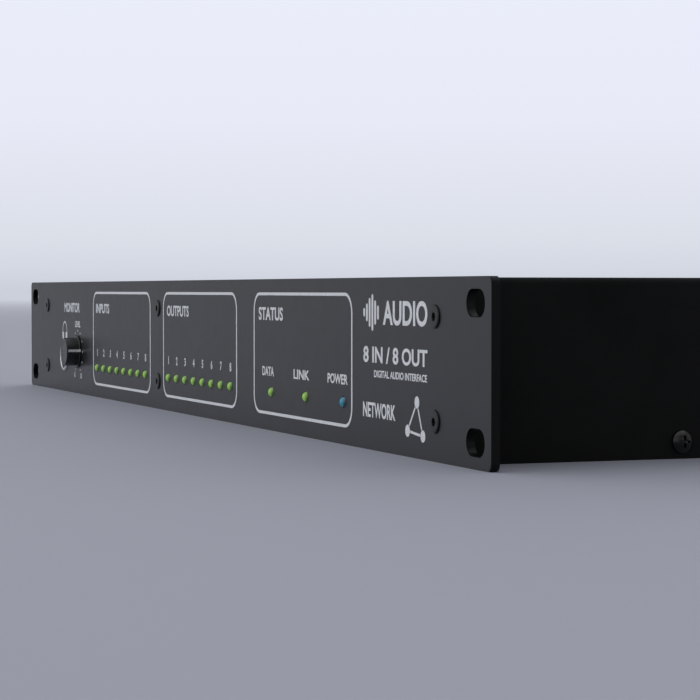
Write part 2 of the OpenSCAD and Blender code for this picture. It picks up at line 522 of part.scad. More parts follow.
module fuse_drawer() color([0.07, 0.07, 0.07]) difference() {
    union() {
        box([inlet_x - drawer_w / 2, inlet_x + drawer_w / 2], [rear_y + 1 - drawer_len, rear_y + 1.9], [drawer_z - drawer_h / 2, drawer_z + drawer_h / 2]);
    }
    box([inlet_x - 3.1, inlet_x + 3.1], [rear_y - 22, rear_y - 1.4], [drawer_z - 2.7, drawer_z + 4]);
    box([inlet_x - 11, inlet_x - 4.4], [rear_y - 22, rear_y - 1.4], [drawer_z - 2.2, drawer_z + 4]);
    box([inlet_x + 4.4, inlet_x + 11], [rear_y - 22, rear_y - 1.4], [drawer_z - 2.2, drawer_z + 4]);
    box([inlet_x - 4, inlet_x + 4], [rear_y + 1.1, rear_y + 3], [drawer_z - drawer_h / 2 - 1, drawer_z - drawer_h / 2 + 1.2]);
}
module mains_fuse() color([0.8, 0.8, 0.78]) {
    cyl_y(2.4, inlet_x, [rear_y - 16.6, rear_y - 6.8], drawer_z - 0.1);
    for (y = [[rear_y - 21.7, rear_y - 16.6], [rear_y - 6.8, rear_y - 1.7]]) cyl_y(2.6, inlet_x, y, drawer_z - 0.1);
}
module power_switch() color([0.05, 0.05, 0.05]) {
    difference() {
        union() {
            box([switch_x - 7.6, switch_x + 7.6], [rear_y, rear_y + 1.6], [inlet_z - 10.6, inlet_z + 10.6]);
            box([switch_x - 6.5, switch_x + 6.5], [rear_y - 15, rear_y + 0.5], [inlet_z - 9.5, inlet_z + 9.5]);
        }
        box([switch_x - 5.2, switch_x + 5.2], [rear_y - 9, rear_y + 3], [inlet_z - 8.4, inlet_z + 8.4]);
        cyl_x(1.55, [switch_x - 6.1, switch_x + 6.1], rocker_y, inlet_z);
    }
    for (z = [-6, 0, 6]) box([switch_x - 2.4, switch_x + 2.4], [rear_y - 24, rear_y - 15], [inlet_z + z - 0.4, inlet_z + z + 0.4]);
}
// The rocker is drawn pressed in at its top, the on position
module power_rocker() color([0.04, 0.04, 0.04]) translate([switch_x, rocker_y, inlet_z]) rotate([rocker_tilt, 0, 0]) {
    difference() {
        union() {
            intersection() {
                box([-4.9, 4.9], [-2.5, 7], [-7.7, 7.7]);
                cyl_x(rocker_r, [-5, 5], 0, 0, 96);
            }
            cyl_x(1.5, [-6, 6], 0, 0);
        }
        cyl_x(hollow_r, [-6, 6], hollow_y, 0, 96);
    }
}

// ---------- wires ----------
wire_r = 1.1;
wire_sides = 8;
function unit(v) = v / norm(v);
function spline_at(a, b, c, d, t) = 0.5 * (2 * b + (c - a) * t + (2 * a - 5 * b + 4 * c - d) * t * t + (3 * b - a - 3 * c + d) * t * t * t);
function spline(p, n) = let (m = len(p) - 1) concat([for (i = [0:m - 1]) for (k = [0:n - 1]) spline_at(p[max(i - 1, 0)], p[i], p[i + 1], p[min(i + 2, m)], k / n)], [p[m]]);
function ring_at(c, dir) = let (u = unit(cross(dir, [0.31, 0.17, 0.94])), v = cross(dir, u))
    [for (k = [0:wire_sides - 1]) let (a = 360 * k / wire_sides) c + wire_r * (cos(a) * u + sin(a) * v)];
// Insulated wire along a smooth curve through the points
module wire(pts) {
    p = spline(pts, 5);
    m = len(p) - 1;
    n = wire_sides;
    rings = [for (i = [0:m]) each ring_at(p[i], unit(p[min(i + 1, m)] - p[max(i - 1, 0)]))];
    polyhedron(rings, concat(
        [[for (k = [0:n - 1]) k]],
        [for (i = [0:m - 1]) for (k = [0:n - 1]) each [
            [i * n + k, (i + 1) * n + k, (i + 1) * n + (k + 1) % n],
            [i * n + k, (i + 1) * n + (k + 1) % n, i * n + (k + 1) % n]]],
        [[for (k = [n - 1:-1:0]) m * n + k]]), convexity = 6);
}
module mains_wires() color([0.35, 0.18, 0.08]) {
    wire([[inlet_x + 7, rear_y - 32.4, pocket_z - 2], [inlet_x + 7, rear_y - 36, pocket_z - 2.3], [188, rear_y - 41, 18], [166, rear_y - 41, 18], [151, rear_y - 38, 26], [switch_x, rear_y - 31, inlet_z + 6], [switch_x, rear_y - 24.4, inlet_z + 6]]);
    wire([[inlet_x - 7, rear_y - 32.6, pocket_z - 2], [inlet_x - 7.2, rear_y - 35.4, pocket_z - 2], [160, rear_y - 35, inlet_z], [switch_x, rear_y - 30, inlet_z], [switch_x, rear_y - 24.4, inlet_z]]);
    wire([[switch_x, rear_y - 24.4, inlet_z - 6], [switch_x, rear_y - 31, inlet_z - 6], [switch_x - 5, rear_y - 39, 14], [switch_x - 6, rear_y - 40, board_top + 0.2]]);
}
module earth_wire() color([0.55, 0.65, 0.1])
    wire([[inlet_x, rear_y - 32.4, pocket_z + 2], [inlet_x + 1, rear_y - 40, pocket_z + 2], [199, rear_y - 41, 20], [204, rear_y - 32.4, 13], [stud_pos[0], stud_pos[1] - 10, 3.3], [stud_pos[0], stud_pos[1] - 5.7, 3.1]]);
// Stud, ring terminal and nut
module earth_stud() color([0.75, 0.75, 0.72]) translate([stud_pos[0], stud_pos[1], 0]) {
    cyl_z(2, 0, 0, [sheet_t, 10]);
    cyl_z(4, 0, 0, [sheet_t, 2.6], 6);
    difference() {
        union() {
            cyl_z(4, 0, 0, [2.6, 3.6]);
            box([-1.5, 1.5], [-5.4, -3], [2.6, 3.6]);
            cyl_z(3.9, 0, 0, [3.6, 6.6], 6);
        }
        cyl_z(1.5, 0, 0, [2, 8]);
    }
}

// ---------- ribbon ----------
rib_x = [-124, -98];
rib_top = 26;
rib_pts = concat([[17.6, rib_top]], [for (i = [0:8]) let (t = i / 8) [17.6 + t * 44, rib_top + 6 * sin(180 * t)]], [[66, rib_top - 4], [68, board_top + 8.4]]);
module ribbon_cable() color([0.62, 0.62, 0.64]) translate([rib_x[0], 0, 0]) rotate([90, 0, 90]) linear_extrude(rib_x[1] - rib_x[0])
    polygon(concat(rib_pts, [for (i = [len(rib_pts) - 1:-1:0]) rib_pts[i] - [0.1, 0.9] - (i > 9 ? [0.9, 0] : [0, 0])]));
module ribbon_connectors() color([0.07, 0.07, 0.07]) {
    box([rib_x[0] - 2, rib_x[1] + 2], [led_board_y + pcb_t, 17.4], [rib_top - 3.5, rib_top + 3.5]);
    box([rib_x[0] - 2, rib_x[1] + 2], [64, 70.5], [board_top, board_top + 7.4]);
}

// ---------- assembly ----------
module place() translate([0, y_shift, 0]) children();
place() front_panel();
place() front_panel_screws();
place() chassis_base();
place() rear_panel();
place() top_cover();
place() cover_side_screws();
place() cover_top_screws();
place() clinch_nuts();
place() level_knob();
place() level_knob_pointer();
place() level_pot_shaft();
place() level_pot();
place() level_pot_nut();
place() headphone_jack();
place() headphone_jack_ring();
place() monitor_board();
place() monitor_board_standoffs();
place() headphone_amplifier();
place() led_board();
place() led_board_pillars();
place() input_leds();
place() output_leds();
place() status_leds();
place() power_led();
place() led_spacers();
place() main_board();
place() board_standoffs();
place() board_screws();
place() signal_processor();
place() processor_heatsink();
place() network_module();
place() network_module_sockets();
place() converter_chips();
place() amplifier_chips();
place() mute_relays();
place() filter_capacitors();
place() network_jacks();
place() network_jack_contacts();
place() output_terminals();
place() input_terminals();
place() terminal_pins();
place() power_supply_board();
place() transformer_windings();
place() transformer_core();
place() bulk_capacitor();
place() supply_output_capacitors();
place() supply_heatsink();
place() line_filter_choke();
place() mains_inlet();
place() mains_inlet_blades();
place() mains_inlet_screws();
place() fuse_drawer();
place() mains_fuse();
place() power_switch();
place() power_rocker();
place() mains_wires();
place() earth_wire();
place() earth_stud();
place() ribbon_cable();
place() ribbon_connectors();
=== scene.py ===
import bpy, bmesh, math
from mathutils import Vector, Matrix, noise


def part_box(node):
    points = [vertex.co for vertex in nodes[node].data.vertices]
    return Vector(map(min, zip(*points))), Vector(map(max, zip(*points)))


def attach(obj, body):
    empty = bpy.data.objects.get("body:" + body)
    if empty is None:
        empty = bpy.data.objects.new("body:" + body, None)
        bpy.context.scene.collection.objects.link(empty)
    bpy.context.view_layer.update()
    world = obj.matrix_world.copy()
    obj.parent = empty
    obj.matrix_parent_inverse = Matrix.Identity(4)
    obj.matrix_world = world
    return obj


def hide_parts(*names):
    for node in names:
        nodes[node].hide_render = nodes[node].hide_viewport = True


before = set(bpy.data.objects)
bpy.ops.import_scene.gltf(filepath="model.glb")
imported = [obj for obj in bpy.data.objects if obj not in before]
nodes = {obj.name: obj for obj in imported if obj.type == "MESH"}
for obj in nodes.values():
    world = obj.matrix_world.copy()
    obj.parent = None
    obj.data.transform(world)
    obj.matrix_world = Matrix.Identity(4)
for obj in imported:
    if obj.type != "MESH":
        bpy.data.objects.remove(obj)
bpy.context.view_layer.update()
scene = bpy.context.scene
scene.view_settings.view_transform = "Standard"
scene.view_settings.look = "None"
scene.view_settings.exposure = 0
scene.view_settings.gamma = 1

MM = 0.001
panel_lo, panel_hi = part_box("front_panel")
YF = panel_lo.y                      # the panel's front face
rear_lo, rear_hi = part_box("rear_panel")
YR = rear_hi.y                       # the rear plate's outer face


def P(x, y, z):
    """Millimetres from the panel's middle, its front face and the floor, to the row frame."""
    return Vector((x * MM, YF + y * MM, z * MM))


def mid(node):
    lo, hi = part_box(node)
    return (lo + hi) / 2


# ------------------------------------------------------------------ camera
cam_data = bpy.data.cameras.new("camera")
cam = bpy.data.objects.new("camera", cam_data)
scene.collection.objects.link(cam)
scene.camera = cam
yaw, pitch = -1.2127627, -0.0280499
fwd = Vector((math.sin(yaw) * math.cos(pitch), math.cos(yaw) * math.cos(pitch), math.sin(pitch)))
right = Vector((math.cos(yaw), -math.sin(yaw), 0))
up = right.cross(fwd)
cam_data.sensor_width = 36
cam_data.lens = 2164.418 * 36 / 700
cam_data.shift_x, cam_data.shift_y = -0.5 / 700, 0.5 / 700
cam_data.clip_start, cam_data.clip_end = 0.01, 300
m = Matrix((right, up, -fwd)).transposed().to_4x4()
m.translation = P(682.158, -198.483, 40.884)
cam.matrix_world = m

# ------------------------------------------------------------------ materials


class Nodes:
    """A small helper to write node trees."""

    def __init__(self, name):
        self.mat = bpy.data.materials.new(name)
        self.mat.use_nodes = True
        self.t = self.mat.node_tree
        self.t.nodes.clear()
        self.out = self.t.nodes.new("ShaderNodeOutputMaterial")
        self.bsdf = self.t.nodes.new("ShaderNodeBsdfPrincipled")
        self.link(self.bsdf.outputs[0], self.out.inputs["Surface"])
        self.co = self.t.nodes.new("ShaderNodeTexCoord").outputs["Object"]

    def link(self, a, b):
        self.t.links.new(a, b)

    def put(self, socket, value):
        if hasattr(value, "is_output"):
            self.link(value, socket)
        else:
            socket.default_value = value

    def mapped(self, scale=(1, 1, 1), rot=(0, 0, 0), loc=(0, 0, 0), co=None):
        n = self.t.nodes.new("ShaderNodeMapping")
        n.inputs["Scale"].default_value = scale
        n.inputs["Rotation"].default_value = rot
        n.inputs["Location"].default_value = loc
        self.link(co or self.co, n.inputs["Vector"])
        return n.outputs[0]

    def noise(self, scale, detail=2, rough=0.5, co=None, distortion=0):
        n = self.t.nodes.new("ShaderNodeTexNoise")
        n.inputs["Scale"].default_value = scale
        n.inputs["Detail"].default_value = detail
        n.inputs["Roughness"].default_value = rough
        n.inputs["Distortion"].default_value = distortion
        self.link(co or self.co, n.inputs["Vector"])
        return n.outputs["Fac"]

    def voronoi(self, scale, co=None, feature="F1", out="Distance", randomness=1):
        n = self.t.nodes.new("ShaderNodeTexVoronoi")
        n.feature = feature
        n.inputs["Scale"].default_value = scale
        n.inputs["Randomness"].default_value = randomness
        self.link(co or self.co, n.inputs["Vector"])
        return n.outputs[out]

    def wave(self, scale, direction="X", distortion=0, co=None, profile="SIN"):
        n = self.t.nodes.new("ShaderNodeTexWave")
        n.wave_type = "BANDS"
        n.bands_direction = direction
        n.wave_profile = profile
        n.inputs["Scale"].default_value = scale
        n.inputs["Distortion"].default_value = distortion
        self.link(co or self.co, n.inputs["Vector"])
        return n.outputs["Fac"]

    def span(self, value, lo, hi, to_lo=0.0, to_hi=1.0, smooth=False):
        n = self.t.nodes.new("ShaderNodeMapRange")
        n.interpolation_type = "SMOOTHSTEP" if smooth else "LINEAR"
        for k, v in zip(("From Min", "From Max", "To Min", "To Max"), (lo, hi, to_lo, to_hi)):
            n.inputs[k].default_value = v
        self.link(value, n.inputs["Value"])
        return n.outputs["Result"]

    def math(self, op, a, b=0.0):
        n = self.t.nodes.new("ShaderNodeMath")
        n.operation = op
        self.put(n.inputs[0], a)
        self.put(n.inputs[1], b)
        return n.outputs[0]

    def mix(self, fac, a, b):
        n = self.t.nodes.new("ShaderNodeMix")
        n.data_type = "RGBA"
        self.put(n.inputs[0], fac)
        for s, v in ((n.inputs[6], a), (n.inputs[7], b)):
            self.put(s, v if hasattr(v, "is_output") else (*v[:3], 1))
        return n.outputs[2]

    def xyz(self, co=None):
        n = self.t.nodes.new("ShaderNodeSeparateXYZ")
        self.link(co or self.co, n.inputs[0])
        return n.outputs

    def bump(self, height, strength=0.2, distance=0.0001, normal=None):
        n = self.t.nodes.new("ShaderNodeBump")
        n.inputs["Strength"].default_value = strength
        n.inputs["Distance"].default_value = distance
        self.link(height, n.inputs["Height"])
        if normal is not None:
            self.link(normal, n.inputs["Normal"])
        self.link(n.outputs[0], self.bsdf.inputs["Normal"])
        return n.outputs[0]

    def set(self, **kw):
        names = {"color": "Base Color", "metal": "Metallic", "rough": "Roughness", "spec": "Specular IOR Level", "coat": "Coat Weight",
                 "coat_rough": "Coat Roughness", "aniso": "Anisotropic", "emit": "Emission Color", "emit_strength": "Emission Strength",
                 "transmission": "Transmission Weight", "ior": "IOR", "sheen": "Sheen Weight", "sub": "Subsurface Weight"}
        for k, v in kw.items():
            if isinstance(v, (tuple, list)):
                v = (*v[:3], 1)
            self.put(self.bsdf.inputs[names[k]], v)
        return self


def srgb(r, g, b):
    return tuple(((c / 255) / 12.92 if c / 255 <= 0.04045 else ((c / 255 + 0.055) / 1.055) ** 2.4) for c in (r, g, b))


def scaled(c, k):
    return tuple(min(1, x * k) for x in c[:3])


def coated(name, color, rough=0.5, grain=2600, depth=0.25, spec=0.5, mottle=0.12, distance=0.00004, coat=0.0, side_shade_color=None, vary=0.045):
    """Painted or powder-coated sheet: fine grain in the surface, faint mottling in the colour. If a side colour is
    given, the sheet's sides are painted darker and less glossy than its faces, as painted shade.
    """
    n = Nodes(name)
    big = n.noise(38, 3)
    fine = n.noise(grain, 2, 0.6)
    tone = n.mix(n.span(big, 0.3, 0.7), scaled(color, 1 - mottle), scaled(color, 1 + mottle))
    gloss = spec
    if side_shade_color is not None:
        # painted shade: faces turned across the sheet get the darker side colour and a weaker gloss
        geo = n.t.nodes.new("ShaderNodeNewGeometry")
        face = n.math("ABSOLUTE", n.xyz(geo.outputs["Normal"])[1])
        side = n.span(face, 0.35, 0.85, 1.0, 0.0, smooth=True)
        tone = n.mix(side, tone, side_shade_color)
        gloss = n.span(side, 0.0, 1.0, spec, spec * 0.35)
    n.set(color=tone, rough=n.span(n.noise(180, 3), 0.3, 0.7, rough - vary, rough + vary), spec=gloss)
    if coat:
        n.set(coat=coat, coat_rough=0.3)
    n.bump(fine, depth, distance)
    return n.mat


def moulded(name, color, rough=0.4, spec=0.5, grain=3500, depth=0.15, coat=0.0, mottle=0.08):
    """Injection-moulded plastic: spark-eroded grain, slight gloss change."""
    n = Nodes(name)
    n.set(color=n.mix(n.span(n.noise(60, 2), 0.3, 0.7), scaled(color, 1 - mottle), scaled(color, 1 + mottle)),
          rough=n.span(n.noise(420, 2), 0.3, 0.7, rough - 0.04, rough + 0.06), spec=spec)
    if coat:
        n.set(coat=coat, coat_rough=0.08)
    n.bump(n.noise(grain, 2, 0.6), depth, 0.00003)
    return n.mat


def turned(name, color, rough=0.24, spec=0.5):
    """Moulded knob with the faint drag lines of its tool along its length."""
    n = Nodes(name)
    drag = n.noise(1, 2, 0.6, co=n.mapped((950, 14, 950)))
    n.set(color=n.mix(n.span(drag, 0.35, 0.65), scaled(color, 0.6), scaled(color, 1.5)),
          rough=n.span(n.noise(420, 2), 0.3, 0.7, rough - 0.03, rough + 0.05), spec=spec)
    n.bump(drag, 0.05, 0.00003)
    return n.mat


def metal(name, color, rough=0.3, direction=None, depth=0.12, mottle=0.1, aniso=0.0):
    """Plated, turned or extruded metal. direction stretches its marks along that axis."""
    n = Nodes(name)
    s = [1400, 1400, 1400]
    if direction is not None:
        s["XYZ".index(direction)] = 40
    lines = n.noise(1, 3, 0.6, co=n.mapped(tuple(s)))
    n.set(color=n.mix(n.span(n.noise(90, 3), 0.3, 0.7), scaled(color, 1 - mottle), scaled(color, 1 + mottle)),
          metal=1.0, rough=n.span(lines, 0.25, 0.75, rough - 0.06, rough + 0.1))
    if aniso:
        n.set(aniso=aniso)
    n.bump(lines, depth, 0.00002)
    return n.mat


def board(name, color, trace, gold=(0.75, 0.6, 0.3)):
    """Circuit board: solder mask over tracks, plated via holes."""
    n = Nodes(name)
    x, y, z = n.xyz()
    n1 = n.t.nodes.new("ShaderNodeTexBrick")
    n1.inputs["Scale"].default_value = 260
    n1.inputs["Mortar Size"].default_value = 0.06
    n1.inputs["Mortar Smooth"].default_value = 0.3
    n1.offset, n1.squash = 0.37, 0.6
    n.link(n.mapped((1, 1, 1), (0, 0, 0.0)), n1.inputs["Vector"])
    tracks = n.math("SUBTRACT", 1.0, n1.outputs["Fac"])
    wander = n.span(n.noise(120, 1), 0.45, 0.55, 0, 1)
    track = n.math("MULTIPLY", tracks, wander)
    via = n.span(n.voronoi(210, randomness=0.85), 0.10, 0.14, 1, 0)
    body = n.mix(track, color, trace)
    n.set(color=n.mix(via, body, gold), rough=n.span(n.noise(500, 2), 0.3, 0.7, 0.26, 0.4), spec=0.5)
    n.bump(n.math("ADD", track, via), 0.35, 0.00004)
    return n.mat


def sleeve(name, color, stripe=None, stripe_scale=300, direction="X", rough=0.45):
    """Shrink sleeve or wire insulation, with a stripe where it has one."""
    n = Nodes(name)
    base = n.mix(n.span(n.noise(70, 2), 0.3, 0.7), scaled(color, 0.88), scaled(color, 1.12))
    if stripe is not None:
        base = n.mix(n.span(n.wave(stripe_scale, direction), 0.55, 0.62), base, stripe)
    n.set(color=base, rough=n.span(n.noise(300, 2), 0.3, 0.7, rough - 0.05, rough + 0.08))
    n.bump(n.noise(1500, 2), 0.12, 0.00004)
    return n.mat


def lens(name, color, glow, strength):
    """Tinted lamp lens, lit from inside: brighter where the die is, at the tip, with painted shade on the dome's sides
    and a painted highlight on its upward-facing parts.
    """
    n = Nodes(name)
    x, y, z = n.xyz()
    speck = n.noise(900, 2)
    n.set(color=n.mix(n.span(speck, 0.3, 0.7), scaled(color, 0.85), scaled(color, 1.15)), rough=n.span(speck, 0.3, 0.7, 0.12, 0.2), spec=0.6,
          coat=0.5, coat_rough=0.05)
    geo = n.t.nodes.new("ShaderNodeNewGeometry")
    gx, gy, gz = n.xyz(geo.outputs["Normal"])
    # The glow is scaled by the normal. It is strongest at the tip, where the die shines, and fades down the dome's
    # sides, partly as painted shade. Parts facing upward get extra glow, a painted highlight as if lit from above.
    facing = n.math("ADD", n.span(gy, -0.95, -0.4, 0.8, 0.05, smooth=True), n.span(gz, -0.2, 0.8, 0.0, 0.35, smooth=True))
    n.set(emit=n.mix(n.span(n.noise(700, 1), 0.35, 0.65), scaled(glow, 0.85), glow), emit_strength=n.math("MULTIPLY", facing, strength))
    n.bump(speck, 0.05, 0.00002)
    return n.mat


BLACK = (0.010, 0.0102, 0.0105)
M = {
    # the panel's sides get painted shade, darker and less glossy than its front
    "panel": coated("panel_paint", (0.0150, 0.0160, 0.0180), rough=0.34, grain=3800, depth=0.04, spec=0.5, mottle=0.03, distance=0.00002, side_shade_color=(0.0035, 0.0036, 0.0038), vary=0.012),
    "cover": coated("cover_paint", (0.0068, 0.0070, 0.0069), rough=0.62, grain=1500, depth=0.55, spec=0.10, mottle=0.25, distance=0.00009),
    "chassis": coated("chassis_paint", (0.0074, 0.0076, 0.0075), rough=0.58, grain=1500, depth=0.5, spec=0.12, mottle=0.22, distance=0.00008),
    "black_screw": coated("black_screw", (0.011, 0.011, 0.0115), rough=0.33, grain=2600, depth=0.08, spec=0.45, mottle=0.15, distance=0.00002),
    "side_screw": coated("side_screw", (0.0035, 0.0035, 0.0037), rough=0.24, grain=2600, depth=0.05, spec=0.5, mottle=0.15, distance=0.00002),
    "zinc": metal("zinc_hardware", (0.62, 0.62, 0.6), rough=0.3),
    "knob": turned("knob_plastic", (0.0075, 0.0078, 0.0082), rough=0.24, spec=0.5),
    "pointer": moulded("pointer_inlay", (0.62, 0.62, 0.62), rough=0.5, grain=2500, depth=0.1, mottle=0.04),
    "shaft": metal("shaft_metal", (0.6, 0.6, 0.6), rough=0.28, direction="Y", aniso=0.3),
    "pot": metal("pot_can", (0.5, 0.51, 0.52), rough=0.34),
    "black_plastic": moulded("black_plastic", (0.012, 0.012, 0.0125), rough=0.46, spec=0.4),
    "chrome": metal("chrome_ring", (0.96, 0.96, 0.97), rough=0.07, depth=0.01, mottle=0.01),
    "led_green": lens("green_lens", (0.075, 0.17, 0.02), (0.23, 0.44, 0.06), 0.9),
    "led_blue": lens("blue_lens", (0.010, 0.07, 0.11), (0.02, 0.21, 0.33), 0.8),
    "pcb": board("board_green", (0.008, 0.07, 0.03), (0.015, 0.13, 0.05)),
    "psu_pcb": board("board_brown", (0.2, 0.12, 0.035), (0.27, 0.17, 0.055)),
    "chip": moulded("chip_epoxy", (0.018, 0.018, 0.019), rough=0.55, grain=2800, depth=0.25),
    "module": board("board_blue", (0.008, 0.035, 0.13), (0.014, 0.06, 0.2)),
    "relay": moulded("relay_case", (0.7, 0.66, 0.54), rough=0.4),
    "capacitor": sleeve("capacitor_sleeve", (0.02, 0.025, 0.06), (0.55, 0.57, 0.6), 18, "X", 0.35),
    "heatsink_black": metal("heatsink_black", (0.03, 0.03, 0.032), rough=0.45, direction="Y"),
    "heatsink": metal("heatsink_plain", (0.6, 0.61, 0.62), rough=0.4, direction="Y"),
    "shell": metal("socket_shell", (0.62, 0.63, 0.65), rough=0.28, direction="X"),
    "gold": metal("gold_contact", (0.85, 0.62, 0.22), rough=0.2, direction="Y"),
    "tin": metal("tinned_pin", (0.72, 0.72, 0.7), rough=0.26, direction="Y"),
    "tape": sleeve("winding_tape", (0.72, 0.56, 0.05), (0.6, 0.45, 0.03), 210, "Z", 0.3),
    "ferrite": metal("ferrite_core", (0.05, 0.05, 0.052), rough=0.5, depth=0.3),
    "copper": sleeve("enamelled_copper", (0.5, 0.17, 0.04), (0.25, 0.08, 0.02), 420, "Z", 0.25),
    "fuse": metal("fuse_caps", (0.72, 0.72, 0.71), rough=0.24, direction="Y"),
    "rocker": moulded("rocker_plastic", (0.010, 0.010, 0.0105), rough=0.26, spec=0.5, grain=2200, depth=0.08),
    "wire": sleeve("wire_sleeve", (0.2, 0.075, 0.03)),
    "earth": sleeve("earth_sleeve", (0.06, 0.3, 0.05), (0.75, 0.7, 0.05), 160, "Y"),
    "ribbon": sleeve("ribbon_sleeve", (0.42, 0.42, 0.44), (0.3, 0.3, 0.32), 400, "X", 0.5),
}
INK = Nodes("print_ink")
INK.set(color=INK.mix(INK.span(INK.noise(900, 3), 0.3, 0.7), (0.66, 0.67, 0.69), (0.78, 0.79, 0.81)), rough=INK.span(INK.noise(400, 2), 0.3, 0.7, 0.5, 0.62), spec=0.06)
INK.bump(INK.noise(5000, 2), 0.1, 0.00001)
M["ink"] = INK.mat

NODE_MATERIAL = dict(
    front_panel="panel", front_panel_screws="black_screw", chassis_base="chassis", rear_panel="chassis", top_cover="cover",
    cover_side_screws="side_screw", cover_top_screws="black_screw", clinch_nuts="zinc", level_knob="knob", level_knob_pointer="pointer",
    level_pot_shaft="shaft", level_pot="pot", level_pot_nut="zinc", headphone_jack="black_plastic", headphone_jack_ring="chrome",
    monitor_board="pcb", monitor_board_standoffs="zinc", headphone_amplifier="chip", led_board="pcb", led_board_pillars="zinc",
    input_leds="led_green", output_leds="led_green", status_leds="led_green", power_led="led_blue", led_spacers="black_plastic",
    main_board="pcb", board_standoffs="zinc", board_screws="zinc", signal_processor="chip", processor_heatsink="heatsink_black",
    network_module="module", network_module_sockets="black_plastic", converter_chips="chip", amplifier_chips="chip", mute_relays="relay",
    filter_capacitors="capacitor", network_jacks="shell", network_jack_contacts="gold", output_terminals="black_plastic",
    input_terminals="black_plastic", terminal_pins="tin", power_supply_board="psu_pcb", transformer_windings="tape",
    transformer_core="ferrite", bulk_capacitor="capacitor", supply_output_capacitors="capacitor", supply_heatsink="heatsink",
    line_filter_choke="copper", mains_inlet="black_plastic", mains_inlet_blades="tin", mains_inlet_screws="black_screw",
    fuse_drawer="black_plastic", mains_fuse="fuse", power_switch="black_plastic", power_rocker="rocker", mains_wires="wire",
    earth_wire="earth", earth_stud="zinc", ribbon_cable="ribbon", ribbon_connectors="black_plastic")

# Edges of pressed, moulded and machined pieces are never knife-sharp: width in mm of each rounding
EDGE = dict(
    front_panel=0.34, top_cover=0.12, chassis_base=0.1, rear_panel=0.12, mains_inlet=0.3, fuse_drawer=0.2, power_switch=0.25, power_rocker=0.3,
    network_jacks=0.12, output_terminals=0.15, input_terminals=0.15, headphone_jack=0.15, mains_inlet_blades=0.2, processor_heatsink=0.1,
    supply_heatsink=0.15, mute_relays=0.3, signal_processor=0.12, converter_chips=0.12, amplifier_chips=0.1, bulk_capacitor=0.5,
    filter_capacitors=0.35, supply_output_capacitors=0.4, transformer_core=0.3, transformer_windings=0.3, ribbon_connectors=0.2,
    level_pot=0.2, level_pot_nut=0.1, network_module=0.08, network_module_sockets=0.15, power_supply_board=0.08, main_board=0.08,
    led_board=0.08, monitor_board=0.08, headphone_amplifier=0.15, earth_stud=0.1, board_standoffs=0.1, clinch_nuts=0.1, led_spacers=0.1,
    mains_fuse=0.2, line_filter_choke=0.1, monitor_board_standoffs=0.1, led_board_pillars=0.1, terminal_pins=0.1, board_screws=0.08,
    cover_side_screws=0.1, cover_top_screws=0.06, front_panel_screws=0.08, mains_inlet_screws=0.06, level_pot_shaft=0.15,
    input_leds=0, output_leds=0, status_leds=0, power_led=0, level_knob=0, level_knob_pointer=0, headphone_jack_ring=0,
    network_jack_contacts=0, mains_wires=0, earth_wire=0, ribbon_cable=0.1)


def soften(o, width, segments=2):
    """Joins the split corners of a CAD mesh, then rounds its sharp edges."""
    w = o.modifiers.new("join", "WELD")
    w.merge_threshold = 0.000002
    if width:
        b = o.modifiers.new("round", "BEVEL")
        b.width = width * MM
        b.segments = segments
        b.limit_method = "ANGLE"
        b.angle_limit = math.radians(35)
        b.use_clamp_overlap = True
        b.harden_normals = False
    for p in o.data.polygons:
        p.use_smooth = True
    o.data.set_sharp_from_angle(angle=math.radians(32))
    n = o.modifiers.new("flats", "WEIGHTED_NORMAL")
    n.mode = "FACE_AREA"
    n.weight = 60
    n.keep_sharp = True


for name, o in nodes.items():
    o.data.materials.clear()
    o.data.materials.append(M[NODE_MATERIAL[name]])
    soften(o, EDGE.get(name, 0))

# ------------------------------------------------------------------ mesh helpers


def obj_from(bm, name, mat, body, smooth=32, replaces=()):
    bmesh.ops.remove_doubles(bm, verts=bm.verts, dist=1e-7)
    bmesh.ops.recalc_face_normals(bm, faces=bm.faces)
    me = bpy.data.meshes.new(name)
    bm.to_mesh(me)
    bm.free()
    me.materials.append(M[mat])
    for p in me.polygons:
        p.use_smooth = True
    me.set_sharp_from_angle(angle=math.radians(smooth))
    o = bpy.data.objects.new(name, me)
    scene.collection.objects.link(o)
    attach(o, body)
    if replaces:
        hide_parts(*replaces)
    return o


def rounded_profile(pts, n=5):
    """pts: (radius, along, rounding). Returns the closed or open profile with its corners rounded."""
    out = []
    m = len(pts)
    for i, (r, a, f) in enumerate(pts):
        p = Vector((r, a))
        if not f or i in (0, m - 1):
            out.append(p)
            continue
        u = (Vector(pts[i - 1][:2]) - p)
        v = (Vector(pts[(i + 1) % m][:2]) - p)
        f = min(f, u.length * 0.49, v.length * 0.49)
        u.normalize()
        v.normalize()
        A, B = p + u * f, p + v * f
        for k in range(n + 1):
            t = k / n
            out.append(A * (1 - t) ** 2 + p * 2 * t * (1 - t) + B * t ** 2)
    return out


def lathe(bm, profile, x, z, seg=96, closed=False, y0=0.0, phase=0.0):
    """Turns (radius, y) points, mm, about the line through (x, z) along Y. closed joins the last point to the first."""
    rings = []
    for q in profile:
        r, y = q[0], q[1] + y0
        if r < 1e-6:
            rings.append([bm.verts.new(P(x, y, z))])
        else:
            rings.append([bm.verts.new(P(x + r * math.cos(phase + 2 * math.pi * k / seg), y, z + r * math.sin(phase + 2 * math.pi * k / seg))) for k in range(seg)])
    pairs = list(zip(rings, rings[1:])) + ([(rings[-1], rings[0])] if closed else [])
    for a, b in pairs:
        for k in range(seg):
            k2 = (k + 1) % seg
            if len(a) == 1 and len(b) == 1:
                continue
            if len(a) == 1:
                bm.faces.new((a[0], b[k], b[k2]))
            elif len(b) == 1:
                bm.faces.new((a[k], a[k2], b[0]))
            else:
                bm.faces.new((a[k], a[k2], b[k2], b[k]))


